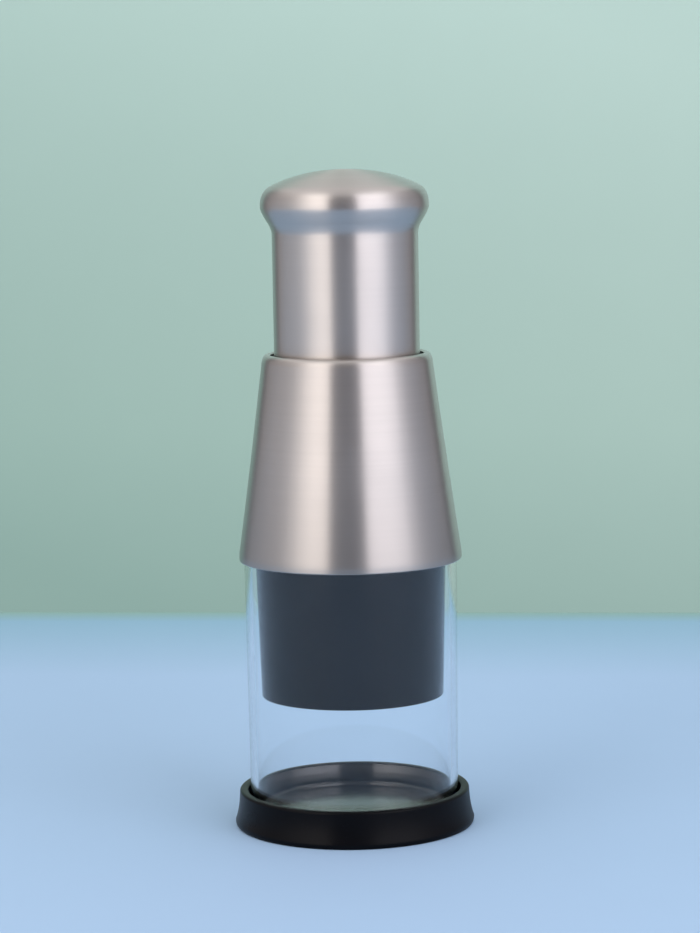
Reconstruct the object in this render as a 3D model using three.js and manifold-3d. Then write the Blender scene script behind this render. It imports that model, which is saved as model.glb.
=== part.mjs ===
import * as THREE from "three";
import { mergeVertices } from "three/addons/utils/BufferGeometryUtils.js";
import Module from "manifold-3d";

// Push-down vegetable chopper. A palm knob presses a zigzag blade down through a clear cup onto a
// base platform, a spring lifts it, and a twisted shaft turns it between strokes.
// Millimetres, +Z up, origin at the centre of the base cap's underside.
// Groups nest as the pieces carry each other: base, cup, head, plunger, cutter.

// Fits and small roundings that every piece shares
const seatGap = 0.3; // between two pieces that rest on each other or are fixed in each other
const slideGap = 0.35; // around a piece that slides or turns in a bore
const filletSmall = 0.6; // rounding of small moulded edges
const overrun = 1; // how far a cut runs past the face that it opens
const halfStepShare = 0.5; // sets a ring of features midway between the features of another
const weld = 0.0001; // corners closer than this are one corner

// Facets round each kind of piece
const shellSides = 32;
const innerSides = 20;
const smallSides = 8;
const filletSteps = 2;
const bendSteps = 3;

// Angles
const fullTurn = 2 * Math.PI;
const quarterTurn = Math.PI / 2;

// Stroke of the plunger, and the turn that it gives the blade
const stroke = 42;
const turnPerStroke = Math.PI / 3;

// Clear cup
const cupHeight = 96.4;
const cupTopRadius = 38.05;
const cupTaper = 0.8; // the bottom edge's radius is smaller by this
const cupWall = 2.5;
const cupEdgeFillet = 0.9;

// Base cap: a soft cover with a groove for the cup's edge and a raised chopping platform
const rimHeight = 13;
const rimWidth = 2.9;
const rimLead = 0.85; // the rim's inside opens by this much above the seat
const rimSeatHeight = 5.5; // straight height that grips the cup
const rimFillet = 0.9;
const grooveFloor = 4;
const grooveSlack = 1.15; // between the platform and the cup's inner wall
const platformRise = 2.2;
const platformFillet = 1;
const skirtFlare = 1.7; // the widest circle stands out from the rim by this
const skirtFlareHeight = 1.7;
const skirtHollow = 0.3; // the skirt's waist stands out from the rim by this
const skirtWaistHeight = 5.5;
const footUndercut = 0.8;
const footWidth = 6;
const capFloor = 2.3; // thickness under the groove and under the platform

// Cone shell: drawn steel with a hemmed lower edge and a turned-in shoulder
const coneWall = 0.8;
const coneOverlap = 4.7; // how far the cup's top edge stands up inside the cone
const hemThickness = 1.35;
const hemHeight = 1.5;
const coneBandHeight = 5; // nearly upright band over the hem
const coneBandTaper = 0.4;
const coneHollow = 0.3; // the long side bends in from a straight line by this
const coneShoulderWidth = 3.6; // from the hole's edge out to the shoulder
const coneShoulderHeight = 4.1;
const coneHoleGap = 1.05; // dark gap around the plunger's tube

// Plunger shell: a tube and a palm knob drawn as one piece
const tubeRadius = 25.85;
const shellWall = 0.7;
const knobOverhang = 3.95; // the knob's widest circle stands out from the tube by this
const knobPressedHeight = 10.5; // widest circle over the cone's top with the plunger home
const knobFlareHeight = 11; // from the neck up to the widest circle
const knobCrownHeight = 12.3; // from the widest circle up to the top
const flareWaistShare = { radius: 0.42, height: 0.47 }; // where the flare turns from hollow to round
const flareHollowShare = 0.22; // height at which the hollow leaves the tube's line
const flareRoundShare = 0.84; // height at which the round meets the widest circle's line
const crownEdgeShare = { radius: 0.87, height: 0.57 }; // where the flat crown meets the round edge
const crownEdgeHandleShare = 0.44;
const crownHandleShare = 0.5;

// Blade guard: a black tapered sleeve inside the cup
const guardWall = 1.8;
const guardTaper = 1.4;
const guardReach = 1.3; // how far it hides the blade's edge at rest
const guardFillet = 0.5;
const guardCollarStep = 1.25; // the collar stands out from the sleeve by this
const guardCollarHeight = 4.2;

// Inner frame of the head
const frameFloor = 3;
const frameWall = 2;
const frameRingHeight = 9; // the ring that the guard hangs on, below the floor
const frameRingWall = 2;
const frameRibCount = 6;
const frameRibThickness = 1.8;
const frameRibDepth = 3;
const frameHubWall = 3.6; // round the nut's lower journal
const frameRings = 4; // steps that follow the cone's side

// Snap beads of the frame in windows of the guard
const beadCount = 3;
const beadWidth = 8;
const beadHeight = 1.8;
const beadLift = 1.2; // bead's top below the floor
const beadProud = 1.1;

// Top guide that the plunger's tube slides in
const guideLength = 18.4;
const guideChamfer = 0.8;

// Plunger liner and its stop flange
const linerWall = 1.8;
const linerPlate = 3;
const linerBelowNeck = 3.5; // plate's top below the knob's neck
const stopFlange = 2.7;
const stopLedge = 1.75; // the flange stands out from the tube by this
const pressedGap = 1; // between the flange and the frame's floor with the plunger home

// Palm core inside the knob
const corePocketRadius = 10;
const corePocketDepth = 6.6;
const coreHollowCount = 3;
const coreHollowWall = 2.8; // between a hollow and the core's side or pocket
const coreHollowDepth = 8;

// Index nut with ratchet teeth
const journalWall = 1.4; // round the twisted bore
const journalDrop = 3; // lower journal in the frame's floor
const journalRise = 3.7; // upper journal in the cover
const toothCount = 12;
const toothHeight = 4;
const toothDepth = 1.6;

// Pawl ring: three sprung fingers on a ring
const pawlCount = 3;
const pawlRingWall = 1.2;
const fingerThickness = 1.1;
const fingerRoom = 0.95; // between a finger and its ring, so that it can spring out
const pawlHeight = 3.3;
const fingerSweep = 0.95; // angle from tip to root
const fingerRoot = 0.17;
const pawlTipSweep = 0.1;
const pawlTipStart = 0.035;
const lugSweep = 0.16;
const lugDepth = 1.2;

// Ratchet housing on the frame's floor, and its cover
const housingGap = 1.2; // to the liner that comes down round it
const housingRim = 0.4; // outside the screws' heads
const pocketWall = 1.2; // between the pocket and the screws' holes
const coverThickness = 2;
const coverCollarHeight = 3;
const coverCollarWall = 1.6;
const coverCollarGap = 0.4; // between the collar and the spring's coils

// Return spring
const springRoom = 0.6; // between its coils and the heads of the cover's screws
const springWire = 1.6;
const springTurns = 12;
const springEndTurns = 1;
const springEndGap = 0.5; // between the close turns at each end
const coilSteps = 8;
const wireSides = 5;

// Spring seat washer under the liner's plate
const seatThickness = 1;

// Drive shaft
const lobeCount = 4;
const lobeRadius = 4.4; // mean radius of the twisted stretch
const lobeHeight = 0.6;
const lobeSides = 24;
const twistMargin = 1.3; // twisted stretch past the nut at both ends of the stroke
const twistSteps = 10;
const shaftRadius = 3.6;
const collarRadius = 6.5;
const collarHeight = 2.5;
const driveHalf = 3; // half the width of the square end
const driveCorner = 3.9;
const driveLength = 10;
const shaftBoreDepth = 12;
const swivelRadius = 8;
const swivelThickness = 1.2;

// Blade hub
const hubGap = 0.8; // round the hub where it leaves the guard
const hubRoom = 4; // over the hub's boss, under the frame's ribs
const hubHeight = 8;
const hubBossRadius = 8;
const hubBossHeight = 8;
const hubFillet = 1.2;
const socketFloor = 6; // under the shaft's square end

// Zigzag blade: one strip folded into legs across the hub
const bladeLegs = 6;
const bladeThickness = 0.8;
const bladeInset = 4.2; // depth in the hub's slot
const bladeMargin = 1.6; // the folds stand in from the hub's edge by this
const bladeSideMargin = 4.5; // the end folds stand in from the hub's side by this
const bladeFold = 3.2; // width of each fold
const bladeBend = 1.2;
const bladeBevel = 2.4; // height of the ground edge
const bladeEdge = 0.16; // thickness left at the edge
const tipGap = 0.3; // between the edge and the platform with the plunger home

// Cross pins that hold the blade's legs in the hub
const pinRadius = 1;
const pinSpread = 9;
const pinInset = 1.4; // pin's ends inside the hub's side
const pinLift = 2.2;

// Screws: shank radius, length, head radius, head height
const screwCount = 3; // in the cover, and in the core
const shaftScrew = { shank: 1.5, length: 9, head: 2.8, rise: 2 };
const hubScrew = { shank: 1.5, length: 14, head: 2.8, rise: 2 };
const coverScrew = { shank: 1.1, length: 6, head: 2.3, rise: 1.6 };
const coreScrew = { shank: 1.25, length: 9, head: 2.5, rise: 1.8 };
const driveRecess = { radiusShare: 0.5, depthShare: 0.55 }; // hexagon recess in each head
const headFilletShare = 0.5;

// Radii that follow from the values above
const cupBottomRadius = cupTopRadius - cupTaper;
const cupTopInside = cupTopRadius - cupWall;
const rimSeatRadius = cupBottomRadius + seatGap;
const rimInsideRadius = rimSeatRadius + rimLead;
const rimRadius = rimInsideRadius + rimWidth;
const platformRadius = cupBottomRadius - cupWall - grooveSlack;
const hemInside = cupTopRadius + seatGap;
const coneBottomRadius = hemInside + hemThickness;
const coneBandRadius = coneBottomRadius - coneBandTaper;
const coneHoleRadius = tubeRadius + coneHoleGap;
const coneShoulderRadius = coneHoleRadius + coneShoulderWidth;
const guardCollarRadius = cupTopInside - slideGap;
const guardTopRadius = guardCollarRadius - guardCollarStep;
const guardBottomRadius = guardTopRadius - guardTaper;
const hubRadius = guardBottomRadius - guardWall - hubGap;
const knobRadius = tubeRadius + knobOverhang;
const linerRadius = tubeRadius - shellWall - seatGap;
const linerInside = linerRadius - linerWall;
const stopRadius = tubeRadius + stopLedge;
const housingRadius = linerInside - housingGap;
const coverScrewCircle = housingRadius - housingRim - coverScrew.head;
const springRadius = coverScrewCircle - coverScrew.head - springRoom - springWire / 2;
const coilInside = springRadius * Math.cos(Math.PI / coilSteps) - springWire / 2;
const coverCollarRadius = coilInside - coverCollarGap;
const coreScrewCircle = linerInside - seatGap - coreScrew.head;
const seatOuterRadius = coreScrewCircle - coreScrew.head - seatGap;
const seatInnerRadius = 2 * springRadius - seatOuterRadius;
const coreHollowCircle = (linerRadius + corePocketRadius) / 2;
const coreHollowRadius = (linerRadius - corePocketRadius) / 2 - coreHollowWall;
const pocketRadius = coverScrewCircle - coverScrew.shank - seatGap - pocketWall;
const pawlRingRadius = pocketRadius - seatGap;
const pawlRingInside = pawlRingRadius - pawlRingWall;
const fingerOuter = pawlRingInside - fingerRoom;
const fingerInner = fingerOuter - fingerThickness;
const toothTipRadius = fingerInner - slideGap;
const toothRootRadius = toothTipRadius - toothDepth;
const journalRadius = lobeRadius + lobeHeight + slideGap + journalWall;
const frameHubRadius = journalRadius + slideGap + frameHubWall;

// Heights, each over its own group's origin
const platformTop = grooveFloor + platformRise;
const cupAt = grooveFloor + seatGap;
const headAt = cupAt + cupHeight - coneOverlap;
const frameFloorAt = coneOverlap + seatGap;
const frameFloorTop = frameFloorAt + frameFloor;
const guideAt = frameFloorTop + pressedGap + stroke + stopFlange + seatGap;
const coneHeight = guideAt + guideLength + seatGap + coneWall;
const nutAt = frameFloorAt + seatGap;
const toothAt = nutAt + journalDrop;
const pawlAt = frameFloorTop + seatGap;
const housingTop = toothAt + toothHeight + seatGap;
const coverAt = housingTop + seatGap;
const springAt = coverAt + coverThickness + seatGap;
const plungerAt = headAt + guideAt - seatGap - stopFlange;
const neckAt = headAt + coneHeight + stroke + knobPressedHeight - knobFlareHeight - plungerAt;
const plateTop = neckAt - linerBelowNeck;
const plateAt = plateTop - linerPlate;
const seatAt = plateAt - seatGap - seatThickness;
const bladeTipAt = platformTop + tipGap + stroke;
const cutterAt = headAt + frameFloorAt - frameRibDepth - hubRoom - hubBossHeight - hubHeight;
const bladeHeight = cutterAt + bladeInset - bladeTipAt;
const guardAt = bladeTipAt - guardReach - headAt;
const guardHeight = coneOverlap - guardAt;
const twistAt = headAt + nutAt - twistMargin - cutterAt;
const nutHeight = journalDrop + toothHeight + journalRise;
const twistLength = nutHeight + stroke + 2 * twistMargin;
const collarTop = plungerAt + plateAt - seatGap - cutterAt;
const shaftTop = plungerAt + plateTop + seatGap - cutterAt;

// Finishes
const finishes = {
  steel: { color: 0xb9b6b3, metalness: 1, roughness: 0.32 },
  blade: { color: 0xc9cbcc, metalness: 1, roughness: 0.2 },
  spring: { color: 0xa9adb1, metalness: 1, roughness: 0.35 },
  zinc: { color: 0xb0b2ae, metalness: 1, roughness: 0.4 },
  black: { color: 0x15171b, metalness: 0, roughness: 0.25 },
  grey: { color: 0xd9dad6, metalness: 0, roughness: 0.5 },
  acetal: { color: 0xeceae2, metalness: 0, roughness: 0.4 },
  clear: { color: 0xeef4f6, metalness: 0, roughness: 0.05, transparent: true, opacity: 0.3 },
};

const wasm = await Module();
wasm.setup();

// A closed geometry as a solid that can be cut and joined.
function solid(geometry) {
  geometry.deleteAttribute("normal");
  geometry.deleteAttribute("uv");
  const merged = mergeVertices(geometry, weld);
  const corners = merged.getAttribute("position").array;
  const faces = new Uint32Array(merged.index.array);
  return new wasm.Manifold(new wasm.Mesh({ numProp: 3, vertProperties: corners, triVerts: faces }));
}

// A solid as a named mesh, lifted to its height in its group.
function piece(name, body, finish, height = 0) {
  const { vertProperties, triVerts } = body.getMesh();
  const geometry = new THREE.BufferGeometry();
  geometry.setAttribute("position", new THREE.BufferAttribute(vertProperties, 3));
  geometry.setIndex(new THREE.BufferAttribute(triVerts, 1));
  geometry.computeVertexNormals();
  const mesh = new THREE.Mesh(geometry, new THREE.MeshStandardMaterial(finishes[finish]));
  mesh.name = name;
  mesh.position.z = height;
  return mesh;
}

function polar(radius, angle) {
  return new THREE.Vector2(radius * Math.cos(angle), radius * Math.sin(angle));
}

// A line through corners [x, y, fillet], each corner rounded within half of its shorter side.
function rounded(corners, closed = true) {
  const at = (i) => new THREE.Vector2(...corners[(i + corners.length) % corners.length]);
  return corners.flatMap(([, , fillet = 0], i) => {
    const inner = closed || (i > 0 && i < corners.length - 1);
    if (fillet === 0 || !inner) return [at(i)];
    const back = at(i - 1).sub(at(i));
    const ahead = at(i + 1).sub(at(i));
    const half = back.angleTo(ahead) / 2;
    const reach = Math.min(fillet / Math.tan(half), back.length() / 2, ahead.length() / 2);
    const from = at(i).add(back.setLength(reach));
    const to = at(i).add(ahead.setLength(reach));
    return new THREE.QuadraticBezierCurve(from, at(i), to).getPoints(filletSteps);
  });
}

// Points of a smooth bend between two points, drawn towards a third.
function bend(from, towards, to) {
  const ends = [from, towards, to].map((point) => new THREE.Vector2(...point));
  return new THREE.QuadraticBezierCurve(...ends).getPoints(bendSteps);
}

// The same line moved to the left of its own direction, so a line that climbs moves to the axis.
function leftOf(line, distance) {
  return line.map((point, i) => {
    const back = line[Math.max(i - 1, 0)];
    const ahead = line[Math.min(i + 1, line.length - 1)];
    const along = ahead.clone().sub(back).normalize();
    return new THREE.Vector2(point.x - along.y * distance, point.y + along.x * distance);
  });
}

// An outline of radius and height turned about the axis. Its outer side climbs.
function revolve(outline, sides = innerSides) {
  const open = outline[0].x === 0;
  const profile = open ? outline : [...outline, outline[0]];
  return solid(new THREE.LatheGeometry(profile, sides).rotateX(quarterTurn));
}

function ring(inside, outside, height, sides = innerSides) {
  return revolve(rounded([[inside, 0], [outside, 0], [outside, height], [inside, height]]), sides);
}

function rod(radius, length, sides = smallSides) {
  const geometry = new THREE.CylinderGeometry(radius, radius, length, sides);
  return solid(geometry.rotateX(quarterTurn).translate(0, 0, length / 2));
}

function block(x, y, z) {
  return solid(new THREE.BoxGeometry(x, y, z));
}

// A flat outline raised from zero to a height.
function raised(outline, height) {
  const shape = new THREE.Shape(outline);
  return solid(new THREE.ExtrudeGeometry(shape, { depth: height, bevelEnabled: false }));
}

// A closed body through rings of equally many points, each end closed by a fan from its centre.
function skin(rings) {
  const count = rings[0].length;
  const centre = (points) => {
    const sum = points.reduce((total, point) => total.add(point), new THREE.Vector3());
    return sum.divideScalar(count);
  };
  const corners = [...rings.flat(), centre(rings[0]), centre(rings.at(-1))];
  const faces = [];
  const last = (rings.length - 1) * count;
  for (let j = 0; j < count; j++) {
    const next = (j + 1) % count;
    for (let from = 0; from < last; from += count) {
      const to = from + count;
      faces.push(from + j, from + next, to + next, from + j, to + next, to + j);
    }
    faces.push(corners.length - 2, next, j, corners.length - 1, last + j, last + next);
  }
  const geometry = new THREE.BufferGeometry().setFromPoints(corners);
  geometry.setIndex(faces);
  return solid(geometry);
}

// Copies of a solid set evenly round the axis, the first one turned by a share of a step.
function around(count, body, stepShare = 0) {
  return Array.from({ length: count }, (_, i) => {
    return body.rotate([0, 0, THREE.MathUtils.radToDeg(((i + stepShare) * fullTurn) / count)]);
  });
}

function joined(first, ...others) {
  return others.flat().reduce((whole, other) => whole.add(other), first);
}

function cut(first, ...others) {
  return others.flat().reduce((whole, other) => whole.subtract(other), first);
}

// Base cap: standing ring below, hollow skirt outside, groove and platform above.
function baseCap() {
  const capRadius = rimRadius + skirtFlare;
  const footRadius = capRadius - footUndercut;
  const skirt = bend(
    [capRadius, skirtFlareHeight],
    [rimRadius + skirtHollow, skirtWaistHeight],
    [rimRadius, rimHeight - rimFillet],
  );
  const underside = rounded([
    [platformRadius - capFloor, platformTop - capFloor],
    [platformRadius - capFloor, grooveFloor - capFloor],
    [footRadius - footWidth, grooveFloor - capFloor],
    [footRadius - footWidth, 0, rimFillet],
    [footRadius, 0],
  ], false);
  const inside = rounded([
    [rimRadius, rimHeight, rimFillet],
    [rimInsideRadius, rimHeight, rimFillet],
    [rimSeatRadius, grooveFloor + rimSeatHeight],
    [rimSeatRadius, grooveFloor],
    [platformRadius, grooveFloor],
    [platformRadius, platformTop, platformFillet],
    [0, platformTop],
  ], false);
  const axis = new THREE.Vector2(0, platformTop - capFloor);
  return revolve([axis, ...underside, ...skirt, ...inside], shellSides);
}

// Clear cup: a plain tube, open at both ends, slightly tapered.
function clearCup() {
  const outline = rounded([
    [cupBottomRadius - cupWall, 0, cupEdgeFillet],
    [cupBottomRadius, 0, cupEdgeFillet],
    [cupTopRadius, cupHeight, cupEdgeFillet],
    [cupTopRadius - cupWall, cupHeight, cupEdgeFillet],
  ]);
  return revolve(outline, shellSides);
}

// The cone's outer side from its lower edge to its shoulder.
function coneSide() {
  const bandTop = [coneBandRadius, coneBandHeight];
  const shoulder = [coneShoulderRadius, coneHeight - coneShoulderHeight];
  const middle = [
    (bandTop[0] + shoulder[0]) / 2 - coneHollow,
    (bandTop[1] + shoulder[1]) / 2,
  ];
  return [
    ...bend([coneBottomRadius, hemHeight], [coneBottomRadius, coneBandHeight / 2], bandTop),
    ...bend(bandTop, middle, shoulder).slice(1),
  ];
}

// The cone's outer radius at a height.
function coneRadiusAt(height) {
  const side = coneSide();
  const above = side.findIndex((point) => point.y >= height);
  const upper = side[above < 0 ? side.length - 1 : above];
  const lower = side[above < 0 ? side.length - 2 : Math.max(above - 1, 0)];
  const share = upper.y === lower.y ? 0 : (height - lower.y) / (upper.y - lower.y);
  return lower.x + (upper.x - lower.x) * share;
}

// Points that follow the inside of the cone, from one height up to another.
function insideCone(from, to, inset) {
  return Array.from({ length: frameRings + 1 }, (_, i) => {
    const height = from + ((to - from) * i) / frameRings;
    return new THREE.Vector2(coneRadiusAt(height) - coneWall - inset, height);
  });
}

function coneShell() {
  const shoulder = bend(
    [coneShoulderRadius, coneHeight - coneShoulderHeight],
    [coneShoulderRadius - coneHollow, coneHeight],
    [coneHoleRadius + coneWall, coneHeight],
  ).slice(1);
  const outer = [...coneSide(), ...shoulder];
  const edge = [
    new THREE.Vector2(coneHoleRadius, coneHeight - coneWall / 2),
    new THREE.Vector2(coneHoleRadius, coneHeight - coneWall),
  ];
  const inner = leftOf(outer, coneWall).reverse();
  const hem = rounded([
    [coneBottomRadius - coneWall, hemHeight],
    [hemInside, hemHeight],
    [hemInside, 0, hemHeight / 3],
    [coneBottomRadius, 0, hemHeight / 3],
    [coneBottomRadius, hemHeight],
  ], false);
  return revolve([...outer, ...edge, ...inner, ...hem.slice(0, -1)], shellSides);
}

// The guard's inner radius at a height over its lower edge.
function guardInsideAt(height) {
  const share = height / guardHeight;
  return guardBottomRadius - guardWall + guardTaper * share;
}

function snapBeads(grow) {
  const width = beadWidth + 2 * grow;
  const height = beadHeight + 2 * grow;
  const depth = 2 * (beadProud + grow);
  const radius = guardInsideAt(guardHeight) - slideGap;
  const middle = frameFloorAt - beadLift - beadHeight / 2;
  return around(beadCount, block(depth, width, height).translate([radius, 0, middle]));
}

// Inner frame: conical wall, floor, ratchet housing, and the ribbed ring that carries the guard.
function innerFrame() {
  const wallTop = guideAt - seatGap;
  const ringAt = frameFloorAt - frameRingHeight;
  const ringTop = guardInsideAt(guardHeight) - slideGap;
  const ringBottom = guardInsideAt(ringAt - guardAt) - slideGap;
  const outer = insideCone(frameFloorAt, wallTop, seatGap);
  const inner = insideCone(frameFloorTop, wallTop, seatGap + frameWall).reverse();
  const hollow = rounded([
    [pocketRadius, frameFloorTop],
    [journalRadius + slideGap, frameFloorTop],
    [journalRadius + slideGap, frameFloorAt - frameRibDepth],
    [frameHubRadius, frameFloorAt - frameRibDepth],
    [frameHubRadius, frameFloorAt],
    [ringTop - frameRingWall, frameFloorAt],
    [ringBottom - frameRingWall, ringAt],
    [ringBottom, ringAt],
    [ringTop, frameFloorAt],
  ], false);
  const housing = rounded([
    [housingRadius, frameFloorTop],
    [housingRadius, housingTop, filletSmall],
    [pocketRadius, housingTop],
  ], false);
  const shell = revolve([...hollow, ...outer, ...inner, ...housing]);
  const ribLength = ringBottom - frameRingWall / 2 - frameHubRadius;
  const rib = block(ribLength, frameRibThickness, frameRibDepth);
  const ribPlace = [frameHubRadius + (ribLength - overrun) / 2, 0, frameFloorAt - frameRibDepth / 2];
  const ribs = around(frameRibCount, rib.translate(ribPlace));
  const hole = rod(coverScrew.shank + seatGap, coverScrew.length + overrun);
  const holePlace = [coverScrewCircle, 0, housingTop - coverScrew.length + overrun];
  const holes = around(screwCount, hole.translate(holePlace));
  const body = joined(shell, ribs, snapBeads(0));
  return cut(body, holes, pawlLugs(seatGap, frameFloorTop, housingTop + overrun));
}

// Blade guard: tapered sleeve, with a collar that centres it in the cup's mouth.
function bladeGuard() {
  const outline = rounded([
    [guardBottomRadius - guardWall, 0, guardFillet],
    [guardBottomRadius, 0, guardFillet],
    [guardTopRadius, guardHeight - guardCollarHeight],
    [guardCollarRadius, guardHeight - guardCollarHeight, guardFillet],
    [guardCollarRadius, guardHeight, guardFillet],
    [guardTopRadius - guardWall, guardHeight],
  ]);
  const windows = snapBeads(seatGap).map((bead) => bead.translate([0, 0, -guardAt]));
  return cut(revolve(outline, shellSides), windows);
}

// Top guide: a bush between the cone's inside and the plunger's tube.
function topGuide() {
  const bore = tubeRadius + slideGap;
  const outer = insideCone(guideAt, coneHeight - coneShoulderHeight, seatGap);
  const outline = [
    ...rounded([
      [bore, guideAt + guideChamfer],
      [bore + guideChamfer, guideAt],
    ], false),
    ...outer,
    ...rounded([
      [coneShoulderRadius - coneShoulderHeight / 2, guideAt + guideLength],
      [bore, guideAt + guideLength],
    ], false),
  ];
  return revolve(outline, shellSides);
}

// Knob and tube: outer line from the tube's lower edge up to the top of the crown.
function plungerSide() {
  const widest = [knobRadius, neckAt + knobFlareHeight];
  const waist = [
    tubeRadius + knobOverhang * flareWaistShare.radius,
    neckAt + knobFlareHeight * flareWaistShare.height,
  ];
  const crownEdge = [
    knobRadius * crownEdgeShare.radius,
    widest[1] + knobCrownHeight * crownEdgeShare.height,
  ];
  const top = widest[1] + knobCrownHeight;
  const hollowTowards = [tubeRadius, neckAt + knobFlareHeight * flareHollowShare];
  const roundTowards = [knobRadius, neckAt + knobFlareHeight * flareRoundShare];
  const edgeTowards = [knobRadius, widest[1] + knobCrownHeight * crownEdgeHandleShare];
  const crownTowards = [knobRadius * crownHandleShare, top];
  return [
    new THREE.Vector2(tubeRadius, stopFlange + seatGap),
    ...bend([tubeRadius, neckAt], hollowTowards, waist),
    ...bend(waist, roundTowards, widest).slice(1),
    ...bend(widest, edgeTowards, crownEdge).slice(1),
    ...bend(crownEdge, crownTowards, [0, top]).slice(1),
  ];
}

function plungerShell() {
  const outer = plungerSide();
  const inner = leftOf(outer, shellWall).reverse();
  inner[0].x = 0;
  return revolve([...inner, ...outer], shellSides);
}

// Palm core: fills the knob above the liner, with a pocket for the swivel and holes for screws.
function palmCore() {
  const roof = leftOf(plungerSide(), shellWall + seatGap);
  const past = roof.findLastIndex((point) => point.x >= linerRadius);
  const share = (roof[past].x - linerRadius) / (roof[past].x - roof[past + 1].x);
  const edge = roof[past].clone().lerp(roof[past + 1], share);
  roof.at(-1).x = 0;
  const outline = [
    new THREE.Vector2(0, plateTop + seatGap),
    new THREE.Vector2(linerRadius, plateTop + seatGap),
    edge,
    ...roof.slice(past + 1),
  ];
  const pocket = rod(corePocketRadius, corePocketDepth + overrun, innerSides);
  const hole = rod(coreScrew.shank + seatGap, coreScrew.length + overrun);
  const hollow = rod(coreHollowRadius, coreHollowDepth + overrun);
  const low = plateTop + seatGap - overrun;
  const holes = around(screwCount, hole.translate([coreScrewCircle, 0, low]));
  const hollows = around(coreHollowCount, hollow.translate([coreHollowCircle, 0, low]), halfStepShare);
  return cut(revolve(outline), pocket.translate([0, 0, low]), holes, hollows);
}

// Liner: tube with the stop flange below and the plate above that the shaft hangs in.
function plungerLiner() {
  const outline = rounded([
    [linerInside, 0],
    [stopRadius, 0, filletSmall],
    [stopRadius, stopFlange],
    [linerRadius, stopFlange],
    [linerRadius, plateTop],
    [shaftRadius + slideGap, plateTop],
    [shaftRadius + slideGap, plateAt],
    [linerInside, plateAt, filletSmall],
  ]);
  const hole = rod(coreScrew.shank + seatGap, linerPlate + 2 * overrun);
  const holes = around(screwCount, hole.translate([coreScrewCircle, 0, plateAt - overrun]));
  return cut(revolve(outline), holes);
}

// A ring of the twisted stretch, at a height over its lower end.
function lobedRing(height, place, grow = 0) {
  const phase = (-turnPerStroke * height) / stroke;
  return Array.from({ length: lobeSides }, (_, i) => {
    const angle = (i * fullTurn) / lobeSides;
    const radius = lobeRadius + lobeHeight * Math.cos(lobeCount * angle) + grow;
    const point = polar(radius, angle + phase);
    return new THREE.Vector3(point.x, point.y, place);
  });
}

function roundRing(radius, place) {
  return Array.from({ length: lobeSides }, (_, i) => {
    const point = polar(radius, (i * fullTurn) / lobeSides);
    return new THREE.Vector3(point.x, point.y, place);
  });
}

// A square ring with its corners cut round.
function squareRing(place, grow = 0) {
  return Array.from({ length: lobeSides }, (_, i) => {
    const angle = (i * fullTurn) / lobeSides;
    const flat = (driveHalf + grow) / Math.max(Math.abs(Math.cos(angle)), Math.abs(Math.sin(angle)));
    const point = polar(Math.min(flat, driveCorner + grow), angle);
    return new THREE.Vector3(point.x, point.y, place);
  });
}

function twistedRings(from, to, place, grow = 0) {
  const steps = Math.max(1, Math.round(((to - from) * twistSteps) / twistLength));
  return Array.from({ length: steps + 1 }, (_, i) => {
    const height = from + ((to - from) * i) / steps;
    return lobedRing(height, place + height - from, grow);
  });
}

// Drive shaft: square end, twisted stretch, round stem, collar and threaded ends.
function driveShaft() {
  const foot = socketFloor + seatGap;
  const rings = [
    squareRing(foot),
    squareRing(foot + driveLength),
    roundRing(shaftRadius, foot + driveLength),
    roundRing(shaftRadius, twistAt),
    ...twistedRings(0, twistLength, twistAt),
    roundRing(shaftRadius, twistAt + twistLength),
    roundRing(shaftRadius, collarTop - collarHeight),
    roundRing(collarRadius, collarTop - collarHeight),
    roundRing(collarRadius, collarTop),
    roundRing(shaftRadius, collarTop),
    roundRing(shaftRadius, shaftTop),
  ];
  const bore = rod(hubScrew.shank + seatGap, shaftBoreDepth + overrun);
  const low = bore.translate([0, 0, foot - overrun]);
  const high = bore.translate([0, 0, shaftTop - shaftBoreDepth]);
  return cut(skin(rings), low, high);
}

// Index nut: twisted bore, two journals and a rim of saw teeth.
function indexNut() {
  const teeth = Array.from({ length: toothCount }, (_, i) => {
    const start = (i * fullTurn) / toothCount;
    const end = ((i + 1) * fullTurn) / toothCount;
    return [polar(toothRootRadius, start), polar(toothTipRadius, end)];
  });
  const rim = raised(teeth.flat(), toothHeight).translate([0, 0, journalDrop]);
  const body = joined(rod(journalRadius, nutHeight, innerSides), rim);
  const bore = twistedRings(twistMargin - overrun, twistMargin + nutHeight + overrun, -overrun, slideGap);
  return cut(body, skin(bore));
}

// Lugs that keep the pawl ring from turning, and their notches in the housing.
function pawlLugs(grow, from, to) {
  const spread = lugSweep / 2 + grow / pawlRingRadius;
  const inner = pawlRingRadius - pawlRingWall / 2;
  const outer = pawlRingRadius + lugDepth + grow;
  const outline = [polar(inner, -spread), polar(outer, -spread), polar(outer, spread), polar(inner, spread)];
  const lug = raised(outline, to - from).translate([0, 0, from]);
  return around(pawlCount, lug, halfStepShare);
}

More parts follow.
